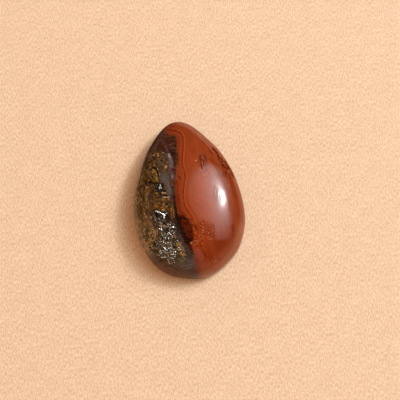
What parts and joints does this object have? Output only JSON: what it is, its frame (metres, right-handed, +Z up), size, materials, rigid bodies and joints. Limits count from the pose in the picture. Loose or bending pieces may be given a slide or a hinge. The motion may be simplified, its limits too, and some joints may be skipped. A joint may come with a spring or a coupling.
{
  "type": "pear-shaped agate cabochon",
  "caption": "Polished pear-shaped agate cabochon: domed top, low girdle, narrow bevel and flat ground back, red banded stone beside a dark mossy, sparkling crystal zone.",
  "frame": {"origin": "middle of the bounding box, on the flat back", "axes": "+Y along the stone towards its narrow end, +Z up out of the dome, away from the flat back"},
  "size_m": [0.0214, 0.032, 0.0074],
  "materials": {
    "agate": "high polish over red banded agate and a dark moss and crystal zone, ground matt on the back"
  },
  "bodies": {
    "root": {"stone": "agate"}
  },
  "joints": []
}
